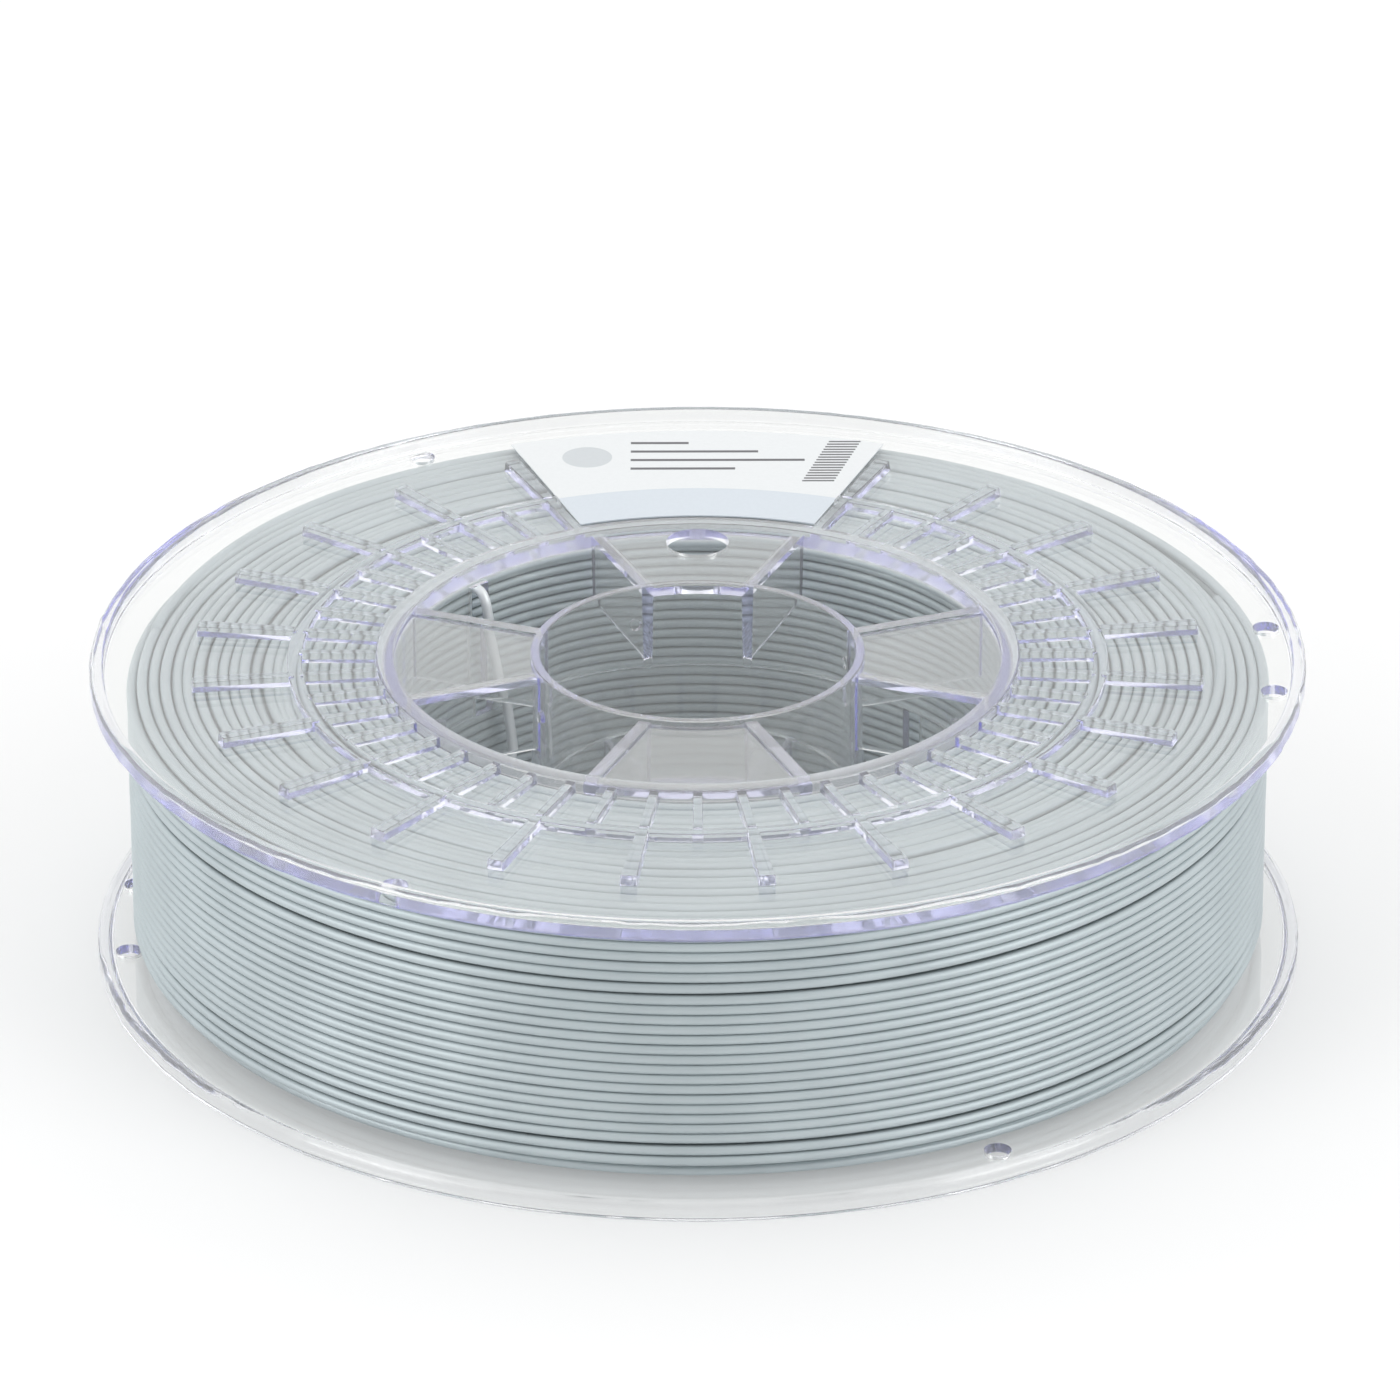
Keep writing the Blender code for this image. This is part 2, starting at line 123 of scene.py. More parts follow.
# Edges, overlaps and fineness of the mouldings
EDGE = 0.00025
RIM_EDGE = 0.0007
FILLET = 0.0005
CORNER_STEPS = 4
SINK = 0.0008
OVERCUT = 0.0020
TURNED_SEGMENTS = 240
HOLE_SEGMENTS = 48
DEG_PER_ARC_STEP = 1.5
SHARP_DEG = 32.0

# Heights of a half are taken from the plane where the halves meet
PLATE_TOP = HALF_WIDTH - PLATE_RECESS
PLATE_BOTTOM = PLATE_TOP - PLATE_THICKNESS
BORE_OUTER = BORE_RADIUS + BORE_WALL
BARREL_INNER = BARREL_RADIUS - BARREL_WALL
BORE_MIDDLE = BORE_OUTER - BORE_WALL / 2
BARREL_MIDDLE = BARREL_INNER + BARREL_WALL / 2
HUB_RING_OUTER = BARREL_INNER + HUB_RING_WIDTH
STEP_RING_INNER = HUB_RING_OUTER + POCKET_WIDTH
STEP_RING_OUTER = STEP_RING_INNER + STEP_RING_WIDTH
RIB_TOP = HALF_WIDTH - RIB_RECESS
RIM_HOLE_CIRCLE = FLANGE_RADIUS - RIM_HOLE_INSET
FINGER_HOLE_CIRCLE = BARREL_INNER - FINGER_HOLE_WALL_GAP - FINGER_HOLE_RADIUS

# Filament
FILAMENT_DIAMETER = 0.00175
FILAMENT_RADIUS = FILAMENT_DIAMETER / 2
STRAND_GAP = 0.00004
START_ROUTE = [
    (-0.03752, 0.03498, 0.0478),
    (-0.03650, 0.03404, 0.0475),
    (-0.03565, 0.03335, 0.0460),
    (-0.03520, 0.03340, 0.0430),
    (-0.03455, 0.03400, 0.0390),
    (-0.03370, 0.03480, 0.0340),
    (-0.03280, 0.03560, 0.0280),
    (-0.03190, 0.03620, 0.0200),
    (-0.03160, 0.03630, 0.0155),
]
START_POINT_GAP = 0.0012
WINDING_LOW = HALF_WIDTH - PLATE_BOTTOM
WINDING_HIGH = HALF_WIDTH + PLATE_BOTTOM
STRAND_LOW = WINDING_LOW + FILAMENT_RADIUS + STRAND_GAP
STRAND_HIGH = WINDING_HIGH - FILAMENT_RADIUS - STRAND_GAP
LAYER_RADIUS = LAYER_HIGH.x - FILAMENT_RADIUS
INNER_RADIUS = BARREL_RADIUS + FILAMENT_RADIUS + STRAND_GAP
FREE_END_DEG = 180.0 - RIM_HOLE_STEP_DEG
OUTER_TURNS = 23.3
OUTER_FIRST_DIAMETERS = 1.7
OUTER_FIRST = WINDING_LOW + OUTER_FIRST_DIAMETERS * FILAMENT_DIAMETER
LEAD_IN_TURNS = 0.2
LEAD_IN_DEG = 2.0
TUCK_TURNS = 0.12
THREADED_POINTS = 6
LOOSE_SPOT_TURNS = 0.3
OUTER_WANDER = 0.00012
INNER_WANDER = 0.00010
STRAND_STEPS = 144
HIDDEN_STRAND_STEPS = 96
STRAND_SIDES = 12
HIDDEN_STRAND_SIDES = 8
RING_TURNS = 1.05
CLIMB_TURNS = 0.12
FACE_WANDER = 0.00100
FACE_SWAY = 0.00035
FACE_WANDER_TURNS = 0.83
WANDER_TURNS = 2.3
SPARE_MARKS = 3
OUTER_SEED = 11
INNER_SEED = 23
UPPER_FACE_SEED = 31
LOWER_FACE_SEED = 41
START_BEVEL_STEPS = 4

# Loose spots of the outer layer: the turn where one starts, and the gap that it leaves
OUTER_LOOSE_SPOTS = [
    (0.9, 0.00012),
    (2.3, 0.00040),
    (6.6, 0.00006),
    (12.4, 0.00008),
    (17.4, 0.00045),
    (20.3, 0.00010),
]

# Label
LABEL_HALF_DEG = 20.3
LABEL_INNER = 0.0572
LABEL_BAND = 0.0685
LABEL_LIFT = 0.00002
LABEL_THICKNESS = 0.0002
PRINT_THICKNESS = 0.00001
RULE_FIRST = 0.0875
RULE_STEP = 0.0036
RULE_WIDTHS = (0.010, 0.022, 0.030, 0.018)
RULE_LEFT = -0.0115
RULE_THICKNESS = 0.0009
DISC_PLACE = (-0.0190, 0.0815)
DISC_RADIUS = 0.0043
STRIPE_COUNT = 16
STRIPE_FIRST = 0.0715
STRIPE_STEP = 0.0011
STRIPE_SLOPE = 0.29
STRIPE_LENGTH = 0.0055

# Places of the print's colours among the label's materials
BAND_INDEX = 1
INK_INDEX = 2
DISC_INDEX = 3

# Finishes
WHITE = (1, 1, 1, 1)
PLASTIC_COLOUR = (0.930, 0.938, 0.915)
PLASTIC_IOR = 1.45
PLASTIC_CLARITY = 0.935
WALL_CLARITY = 0.950
RIB_CLARITY = 0.88
RIM_CLARITY = 0.96
FROST_CLARITY = 0.82
PLASTIC_ROUGHNESS = 0.03
FROST_ROUGHNESS = 0.25
NOISE_DETAIL = 2.0
PLASTIC_WAVE_SCALE = 40.0
PLASTIC_WAVE = 0.00005
PASSING_COLOUR = (0.978, 0.980, 0.974)
TINT_COLOUR = (0.42, 0.42, 0.90)
TINT_DENSITY = 19.0
FILAMENT_ROUGHNESS = 0.46
FILAMENT_METAL = 0.42
FILAMENT_IOR = 1.5
FILAMENT_TONE_SCALE = 60.0
FILAMENT_TONE_DETAIL = 3.0
FILAMENT_TONES = [(0.30, (0.425, 0.481, 0.501)), (0.70, (0.475, 0.535, 0.555))]
# Lighter tones of the same filament, for the start strand inside the barrel
LIGHTER_TONES = [(0.30, (0.740, 0.770, 0.780)), (0.70, (0.800, 0.830, 0.840))]
# Painted shade in the grooves between touching turns: the ramp into the darkest shade, and how deep each
# layer takes it
PAINTED_GROOVE_SHADES = [(0.65, (1.0, 1.0, 1.0)), (1.0, (0.40, 0.40, 0.40))]
OUTER_PAINTED_SHADE = 0.75
FACE_PAINTED_SHADE = 0.75
INNER_PAINTED_SHADE = 0.95
FILAMENT_GRAIN_SCALE = 900.0
FILAMENT_GRAIN = 0.00002
PAPER_ROUGHNESS = 0.45
PAPER_TONE = 1.02
PAPER_STOPS = (0.35, 0.65)
PAPER_FIBRE_SCALE = 1500.0
PAPER_GRAIN = 0.000008
LABEL_WHITE = (0.72, 0.74, 0.75)
LABEL_BLUE = (0.595, 0.645, 0.695)
LABEL_INK = (0.12, 0.12, 0.13)
LABEL_GREY = (0.55, 0.58, 0.60)
FLOOR_COLOUR = (0.63, 0.63, 0.63)
FLOOR_GLOW = 0.30
SURROUND_GLOW = 0.34

# Sockets of a colour mix node
MIX_FACTOR = 0
MIX_FIRST_COLOUR = 6
MIX_SECOND_COLOUR = 7
MIX_RESULT_COLOUR = 2

# Soft bright patches of the surround: azimuth, elevation and reach in degrees, and glow
STUDIO_PATCHES = [
    (0.0, 15.0, 47.0, 0.50),
    (180.0, 15.0, 47.0, 0.55),
    (45.0, 15.0, 47.0, 0.66),
    (135.0, 15.0, 47.0, 0.80),
    (90.0, 45.0, 47.0, 0.70),
    (270.0, 50.0, 47.0, 0.20),
    (0.0, 90.0, 47.0, 0.54),
    (210.0, 15.0, 24.0, 3.40),
    (331.0, 15.0, 24.0, 3.40),
    (210.0, 40.0, 24.0, 1.30),
    (331.0, 40.0, 24.0, 1.30),
]
PATCH_CORE_DEG = 5.0

# Camera and studio
CAMERA_PLACE = (0.00038, -1.3719, 0.6985)
CAMERA_AIM = (0.00038, 0.0, 0.0434)
CAMERA_LENS = 237.05
CAMERA_SENSOR = 36.0
CAMERA_ROLL_DEG = -0.108
CLEAR_BOUNCES = 40
PASSING_BOUNCES = 48
FLOOR_RADIUS = 4.0
FLOOR_DROP = 0.00002


def on_circle(radius, degrees, height):
    """A point at that radius, angle and height."""
    angle = math.radians(degrees)
    return Vector((radius * math.cos(angle), radius * math.sin(angle), height))


def turn_about_axis(degrees):
    """A turn about the spool's axis."""
    return Matrix.Rotation(math.radians(degrees), 4, "Z")


def rounded(corners):
    """The points of a closed outline whose corners, given as (x, y, radius), are rounded."""
    points = []
    for index, (x, y, radius) in enumerate(corners):
        here = Vector((x, y))
        if radius <= 0:
            points.append(here)
            continue
        before = Vector(corners[index - 1][:2]) - here
        after = Vector(corners[(index + 1) % len(corners)][:2]) - here
        half = before.angle(after) / 2
        reach = min(radius / math.tan(half), before.length / 2, after.length / 2)
        start = here + before.normalized() * reach
        end = here + after.normalized() * reach
        middle = here + (before.normalized() + after.normalized()).normalized() * reach / math.cos(half)
        arm = start - middle
        turn = arm.angle_signed(end - middle)
        for step in range(CORNER_STEPS + 1):
            spun = arm.copy()
            spun.rotate(Matrix.Rotation(-turn * step / CORNER_STEPS, 2))
            points.append(middle + spun)
    return points


def add_loops(shape, loops, closed):
    """Faces between loops of points in a row, with end caps unless closed; returns the loops' corners."""
    rings = [[shape.verts.new(point) for point in loop] for loop in loops]
    pairs = list(zip(rings, rings[1:]))
    if closed:
        pairs.append((rings[-1], rings[0]))
    else:
        shape.faces.new(list(reversed(rings[0])))
        shape.faces.new(rings[-1])
    for ring, beside in pairs:
        for index in range(len(ring)):
            after = (index + 1) % len(ring)
            shape.faces.new((ring[index], ring[after], beside[after], beside[index]))
    return rings


def add_turned(shape, corners, segments=TURNED_SEGMENTS):
    """Turn a closed rounded profile of (radius, height, rounding) about Z, as one ring."""
    profile = rounded(corners)
    degrees = [360 * step / segments for step in range(segments)]
    add_loops(shape, [[on_circle(r, angle, z) for r, z in profile] for angle in degrees], True)


def add_arc_bar(shape, corners, start_deg, end_deg):
    """Turn a closed rounded profile between two angles, with flat ends."""
    profile = rounded(corners)
    steps = max(1, round((end_deg - start_deg) / DEG_PER_ARC_STEP))
    degrees = [start_deg + (end_deg - start_deg) * step / steps for step in range(steps + 1)]
    add_loops(shape, [[on_circle(r, angle, z) for r, z in profile] for angle in degrees], False)


def box_profile(inner, outer, low, high, edge=0.0):
    """Corners of a rectangular profile, with its upper edges rounded."""
    return [(inner, low, 0), (outer, low, 0), (outer, high, edge), (inner, high, edge)]


def bar(left, right, middle, thickness):
    """The outline of a straight bar along X."""
    low = middle - thickness / 2
    high = middle + thickness / 2
    return [(left, low), (right, low), (right, high), (left, high)]


def add_rib(shape, degrees, inner, outer, widths, low, high):
    """A straight rib along a radius, with drafted sides and rounded upper edges."""
    turn = turn_about_axis(degrees)
    shoulder = high - RIB_ROUNDING
    levels = [(low, 0.0), (shoulder, RIB_DRAFT)]
    for step in range(1, CORNER_STEPS + 1):
        angle = math.pi / 2 * step / CORNER_STEPS
        rise = RIB_ROUNDING * math.sin(angle)
        levels.append((shoulder + rise, RIB_DRAFT + RIB_ROUNDING * (1 - math.cos(angle))))
    loops = []
    for height, inset in levels:
        corners = [
            (inner, -widths[0] / 2 + inset, EDGE),
            (outer - inset, -widths[1] / 2 + inset, EDGE),
            (outer - inset, widths[1] / 2 - inset, EDGE),
            (inner, widths[0] / 2 - inset, EDGE),
        ]
        loops.append([turn @ Vector((x, y, height)) for x, y in rounded(corners)])
    add_loops(shape, loops, False)


def web_outline(low, high):
    """A web's outline, with a fillet where its lower edge meets the bore tube."""
    return rounded([
        (BORE_MIDDLE, high, 0),
        (BORE_MIDDLE, low - WEB_FILLET, 0),
        (BORE_OUTER, low - WEB_FILLET, 0),
        (BORE_OUTER, low, WEB_FILLET),
        (BARREL_MIDDLE, low, 0),
        (BARREL_MIDDLE, high, 0),
    ])


def add_web(shape, degrees, offset, low, high):
    """An upright wall beside a radius, thinner towards its rounded lower edge."""
    turn = turn_about_axis(degrees)
    sides = []
    for step in range(CORNER_STEPS + 1):
        angle = math.pi / 2 * step / CORNER_STEPS
        away = WEB_THICKNESS / 2 - WEB_ROUNDING * (1 - math.sin(angle))
        sides.append((away, WEB_ROUNDING * (1 - math.cos(angle))))
    loops = []
    for away, lift in [(-away, lift) for away, lift in reversed(sides)] + sides:
        loop = []
        for r, z in web_outline(low + lift, high):
            kept = 1 - WEB_TAPER * (high - z) / (high - low)
            loop.append(turn @ Vector((r, offset + away * kept, z)))
        loops.append(loop)
    add_loops(shape, loops, False)


def add_drill(shape, centre, radius, low, high):
    """A round cutter along Z."""
    place = Matrix.Translation((centre.x, centre.y, (low + high) / 2))
    bmesh.ops.create_cone(
        shape,
        cap_ends=True,
        segments=HOLE_SEGMENTS,
        radius1=radius,
        radius2=radius,
        depth=high - low,
        matrix=place,
    )


def finished_mesh(shape, name):
    """The mesh of a bmesh shape, with its faces pointing out."""
    bmesh.ops.recalc_face_normals(shape, faces=shape.faces)
    mesh = bpy.data.meshes.new(name)
    shape.to_mesh(mesh)
    shape.free()
    return mesh


def is_bare(degrees):
    """True for an angle inside the flange's bare sector, where the label goes."""
    away = (degrees - BARE_DEG + 180) % 360 - 180
    return abs(away) < BARE_SECTOR_DEG / 2


def dent_rim(shape):
    """Make the rim's outer side a little uneven, as moulded plastic is."""
    chooser = random.Random(RIM_SEED)
    dents = [chooser.random() * RIM_DENTS for _ in range(TURNED_SEGMENTS)]
    for vert in shape.verts:
        radius = vert.co.xy.length
        if radius > FLANGE_RADIUS - RIM_EDGE:
            turns = math.atan2(vert.co.y, vert.co.x) / (2 * math.pi)
            vert.co.xy *= 1 - dents[round(turns * TURNED_SEGMENTS) % TURNED_SEGMENTS] / radius


def flange_and_barrel():
    """The turned body of a half: rim, flange plate, hub ring and barrel."""
    shape = bmesh.new()
    add_turned(shape, [
        (FLANGE_RADIUS, PLATE_BOTTOM, RIM_ROUNDING),
        (FLANGE_RADIUS, HALF_WIDTH, RIM_EDGE),
        (FLANGE_RADIUS - LIP_WIDTH, HALF_WIDTH, RIM_EDGE),
        (FLANGE_RADIUS - LIP_WIDTH, PLATE_TOP, FILLET),
        (HUB_RING_OUTER, PLATE_TOP, EDGE),
        (HUB_RING_OUTER, HALF_WIDTH, FILLET),
        (BARREL_INNER, HALF_WIDTH, EDGE),
        (BARREL_INNER, PLATE_BOTTOM, 0),
        (BARREL_INNER, MATING_GAP / 2, 0),
        (BARREL_RADIUS, MATING_GAP / 2, 0),
        (BARREL_RADIUS, PLATE_BOTTOM, FILLET),
    ])
    dent_rim(shape)
    return finished_mesh(shape, "half_body")


def bore_tube():
    """The tube round the bore, with round edges at its outer end."""
    shape = bmesh.new()
    add_turned(shape, box_profile(BORE_RADIUS, BORE_OUTER, MATING_GAP / 2, HALF_WIDTH, EDGE))
    return finished_mesh(shape, "bore_tube")


def sector_angles():
    """The middle angles of the sector plates."""
    return [BARE_DEG + 360 * index / SECTOR_COUNT for index in range(SECTOR_COUNT)]


def web_angle(radius):
    """The angle from a sector plate's middle to the middle of its webs, at that radius."""
    return WEB_DEG - math.degrees(math.asin(WEB_OFFSET / radius))


def sector_plates():
    """The flat plates that carry the bore tube in the barrel."""
    high = HALF_WIDTH - SECTOR_RECESS
    profile = rounded(box_profile(BORE_MIDDLE, BARREL_MIDDLE, high - SECTOR_THICKNESS, high))
    steps = round(2 * WEB_DEG / DEG_PER_ARC_STEP)
    shape = bmesh.new()
    for middle in sector_angles():
        loops = []
        for share in np.linspace(-1, 1, steps + 1):
            loops.append([on_circle(r, middle + share * web_angle(r), z) for r, z in profile])
        add_loops(shape, loops, False)
    return finished_mesh(shape, "sector_plates")


def webs():
    """The upright walls under the two edges of each sector plate."""
    high = HALF_WIDTH - WEB_RECESS
    shape = bmesh.new()
    for middle in sector_angles():
        for side in (-1, 1):
            add_web(shape, middle + side * WEB_DEG, -side * WEB_OFFSET, high - WEB_HEIGHT, high)
    return finished_mesh(shape, "webs")


def bosses():
    """The round marks of the mould's pins, raised on the bore tube's outer side."""
    shape = bmesh.new()
    for middle in sector_angles():
        turn = turn_about_axis(middle + BOSS_DEG)
        levels = [(BORE_MIDDLE, BOSS_RADIUS), (BORE_OUTER + BOSS_HEIGHT, BOSS_RADIUS - BOSS_DRAFT)]
        loops = []
        for x, radius in levels:
            ring = [on_circle(radius, 360 * step / HOLE_SEGMENTS, x) for step in range(HOLE_SEGMENTS)]
            loops.append([turn @ Vector((p.z, p.x, p.y + HALF_WIDTH - BOSS_RECESS)) for p in ring])
        add_loops(shape, loops, False)
    return finished_mesh(shape, "bosses")


def step_ring():
    """The low ring between the short and the long ribs, open at the bare sector."""
    profile = box_profile(
        STEP_RING_INNER,
        STEP_RING_OUTER,
        PLATE_TOP - SINK,
        HALF_WIDTH - STEP_RING_RECESS,
        EDGE,
    )
    shape = bmesh.new()
    add_arc_bar(shape, profile, BARE_DEG + BARE_SECTOR_DEG / 2, BARE_DEG + 360 - BARE_SECTOR_DEG / 2)
    return finished_mesh(shape, "step_ring")


def ribs():
    """The long ribs outside the step ring and the short ribs between it and the hub ring."""
    low = PLATE_TOP - SINK
    shape = bmesh.new()
    for index in range(LONG_RIB_COUNT):
        degrees = (index + 0.5) * 360 / LONG_RIB_COUNT
        if not is_bare(degrees):
            inner = STEP_RING_OUTER - SINK
            outer = FLANGE_RADIUS - LONG_RIB_MARGIN
            add_rib(shape, degrees, inner, outer, LONG_RIB_WIDTHS, low, RIB_TOP)
    for index in range(SHORT_RIB_COUNT):
        degrees = index * 360 / SHORT_RIB_COUNT
        if not is_bare(degrees):
            inner = HUB_RING_OUTER - SHORT_RIB_OVERLAP
            outer = STEP_RING_INNER + SINK
            add_rib(shape, degrees, inner, outer, SHORT_RIB_WIDTHS, low, RIB_TOP)
    return finished_mesh(shape, "ribs")


def tab_angles():
    """The middle angles of the tabs."""
    return (TAB_DEG, TAB_DEG + 180)


def tabs():
    """The tongues that reach inside the other half's barrel."""
    outer = BARREL_INNER - TAB_GAP
    shape = bmesh.new()
    for middle in tab_angles():
        profile = box_profile(outer - TAB_WALL, outer, -TAB_REACH, TAB_REACH)
        add_arc_bar(shape, profile, middle - TAB_HALF_DEG, middle + TAB_HALF_DEG)
    return finished_mesh(shape, "tabs")


def tab_roots():
    """The blocks that join each tab to its own half's barrel."""
    inner = BARREL_INNER - TAB_GAP - TAB_WALL / 2
    reach = TAB_HALF_DEG - TAB_ROOT_INSET_DEG
    shape = bmesh.new()
    for middle in tab_angles():
        profile = box_profile(inner, BARREL_MIDDLE, TAB_ROOT_MARGIN, TAB_REACH - TAB_ROOT_MARGIN)
        add_arc_bar(shape, profile, middle - reach, middle + reach)
    return finished_mesh(shape, "tab_roots")


def hole_cutters():
    """Cutters for the rim holes and the finger hole."""
    low = PLATE_BOTTOM - OVERCUT
    high = HALF_WIDTH + OVERCUT
    half_pair = RIM_HOLE_PAIR_DEG / 2
    shape = bmesh.new()
    for degrees in (-half_pair, half_pair, RIM_HOLE_STEP_DEG, -RIM_HOLE_STEP_DEG):
        add_drill(shape, on_circle(RIM_HOLE_CIRCLE, degrees, 0), RIM_HOLE_RADIUS, low, high)
    add_drill(shape, on_circle(FINGER_HOLE_CIRCLE, BARE_DEG, 0), FINGER_HOLE_RADIUS, low, high)
    return finished_mesh(shape, "hole_cutters")


def slot_cutter():
    """Cutter for the slot in the barrel, open where the halves meet."""
    turn = turn_about_axis(SLOT_DEG)
    outline = bar(BARREL_INNER - OVERCUT, BARREL_RADIUS + OVERCUT, 0, SLOT_WIDTH)
    shape = bmesh.new()
    loops = []
    for height in (-OVERCUT, HALF_WIDTH - SLOT_RECESS):
        loops.append([turn @ Vector((x, y, height)) for x, y in outline])
    add_loops(shape, loops, False)
    return finished_mesh(shape, "slot_cutter")


def add_boolean(target, mesh, operation):
    """Add a Boolean modifier to target that takes a new hidden object with this mesh."""
    tool = bpy.data.objects.new(mesh.name, mesh)
    bpy.context.scene.collection.objects.link(tool)
    modifier = target.modifiers.new(mesh.name, "BOOLEAN")
    modifier.operation = operation
    modifier.solver = "MANIFOLD"
    modifier.object = tool
    return tool


def half_mesh():
    """One moulded half, standing on the plane where the halves meet."""
    body = bpy.data.objects.new("half_body", flange_and_barrel())
    bpy.context.scene.collection.objects.link(body)
    joined = [bore_tube(), sector_plates(), webs(), bosses(), step_ring(), ribs(), tabs(), tab_roots()]
    removed = [hole_cutters(), slot_cutter()]
    tools = [add_boolean(body, mesh, "UNION") for mesh in joined]
    tools += [add_boolean(body, mesh, "DIFFERENCE") for mesh in removed]
    bpy.context.view_layer.update()
    depsgraph = bpy.context.evaluated_depsgraph_get()
    mesh = bpy.data.meshes.new_from_object(body.evaluated_get(depsgraph))
    mesh.name = "spool_half"
    mesh.materials.clear()
    for obj in tools + [body]:
        bpy.data.objects.remove(obj, do_unlink=True)
    return mesh


def smooth(mesh):
    """Shade round faces smooth and keep the edges between flat ones."""
    mesh.shade_smooth()
    mesh.set_sharp_from_angle(angle=math.radians(SHARP_DEG))


def add_piece(name, data, material, body, node, place=Matrix()):
    """A piece of the object that rides on a body, takes a slot's finish and stands for a CAD node."""
    data.materials.append(material)
    piece = bpy.data.objects.new(name, data)
    piece.matrix_world = place
    bpy.context.scene.collection.objects.link(piece)
    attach(piece, body)
    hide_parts(node)
    return piece


def new_material(name):
    """A material with only an output node, and its node tree."""
    material = bpy.data.materials.new(name)
    material.use_nodes = True
    tree = material.node_tree
    tree.nodes.clear()
    return material, tree, tree.nodes.new("ShaderNodeOutputMaterial")


def clear_plastic():
    """Clear moulded plastic with faint waves, a violet tint in its depth and each face's own finish."""
    material, tree, output = new_material("clear_plastic")
    glass = tree.nodes.new("ShaderNodeBsdfPrincipled")
    glass.inputs["Base Color"].default_value = (*PLASTIC_COLOUR, 1)
    glass.inputs["IOR"].default_value = PLASTIC_IOR
    for name, socket in (("roughness", "Roughness"), ("clarity", "Transmission Weight")):
        attribute = tree.nodes.new("ShaderNodeAttribute")
        attribute.attribute_name = name
        tree.links.new(attribute.outputs["Fac"], glass.inputs[socket])
    add_bump(tree, add_noise(tree, PLASTIC_WAVE_SCALE), PLASTIC_WAVE, glass)
    passing = tree.nodes.new("ShaderNodeBsdfTransparent")
    passing.inputs["Color"].default_value = (*PASSING_COLOUR, 1)
    path = tree.nodes.new("ShaderNodeLightPath")
    surface = glass.outputs[0]
    for ray in ("Is Diffuse Ray", "Is Shadow Ray"):
        mix = tree.nodes.new("ShaderNodeMixShader")
        tree.links.new(path.outputs[ray], mix.inputs[0])
        tree.links.new(surface, mix.inputs[1])
        tree.links.new(passing.outputs[0], mix.inputs[2])
        surface = mix.outputs[0]
    tree.links.new(surface, output.inputs["Surface"])
    tint = tree.nodes.new("ShaderNodeVolumeAbsorption")
    tint.inputs["Color"].default_value = (*TINT_COLOUR, 1)
    tint.inputs["Density"].default_value = TINT_DENSITY
    tree.links.new(tint.outputs[0], output.inputs["Volume"])
    return material


def face_finish(face):
    """A face's roughness and clarity.

    The hub's upper edges are frosted, the ribs' sides hazy, and the hub's walls and the rim clearest.
    """
    flat = math.cos(math.radians(SHARP_DEG))
    radius = face.center.xy.length
    upright = abs(face.normal.z) < 1 - flat
    on_edge = face.center.z > HALF_WIDTH - WEB_RECESS - EDGE and face.normal.z > flat
    on_ring_wall = face.center.z > PLATE_BOTTOM and abs(radius - BARREL_INNER) < EDGE
    if radius < HUB_RING_OUTER and (on_edge or on_ring_wall):
        return FROST_ROUGHNESS, FROST_CLARITY
    if upright and radius < BARREL_RADIUS + EDGE:
        return PLASTIC_ROUGHNESS, WALL_CLARITY
    if upright and radius < FLANGE_RADIUS - LONG_RIB_MARGIN:
        return PLASTIC_ROUGHNESS, RIB_CLARITY
    if radius > FLANGE_RADIUS - RIM_EDGE:
        return PLASTIC_ROUGHNESS, RIM_CLARITY
    return PLASTIC_ROUGHNESS, PLASTIC_CLARITY


def mark_finish(mesh):
    """Set the finish of each face."""
    roughness = mesh.attributes.new("roughness", "FLOAT", "FACE")
    clarity = mesh.attributes.new("clarity", "FLOAT", "FACE")
    for face in mesh.polygons:
        roughness.data[face.index].value, clarity.data[face.index].value = face_finish(face)


def make_halves():
    """Both moulded halves: the same shape, with the lower one turned over about Y."""
    mesh = half_mesh()
    mark_finish(mesh)
    smooth(mesh)
    material = clear_plastic()
    middle = Matrix.Translation((0, 0, HALF_WIDTH))
    turned_over = middle @ Matrix.Rotation(math.pi, 4, "Y")
    for body, data, place in (("upper", mesh.copy(), middle), ("lower", mesh, turned_over)):
        half = add_piece(f"spool_half_{body}", data, material, body, f"{body}_half", place)
        weighted = half.modifiers.new("even_normals", "WEIGHTED_NORMAL")
        weighted.keep_sharp = True


def smooth_step(value):
    """0 below 0, 1 above 1, and a smooth rise between them."""
    value = np.clip(value, 0, 1)
    return value * value * (3 - 2 * value)


def wander(turns, seed, size, span=WANDER_TURNS):
    """A smooth seeded wander from 0 to size along a strand, with a new mark every span turns."""
    chooser = random.Random(seed)
    marks = np.array([chooser.random() for _ in range(int(turns[-1] / span) + SPARE_MARKS)])
    index = np.floor(turns / span).astype(int)
    share = smooth_step(turns / span - index)
    return size * (marks[index] * (1 - share) + marks[index + 1] * share)


def circle_points(radii, degrees, heights):
    """Points at those radii, angles and heights."""
    angles = np.radians(degrees)
    return np.stack([radii * np.cos(angles), radii * np.sin(angles), heights], axis=1)


def strand_turns(turns, steps):
    """The turn count at each point of a strand."""
    return np.linspace(0, turns, round(turns * steps) + 1)


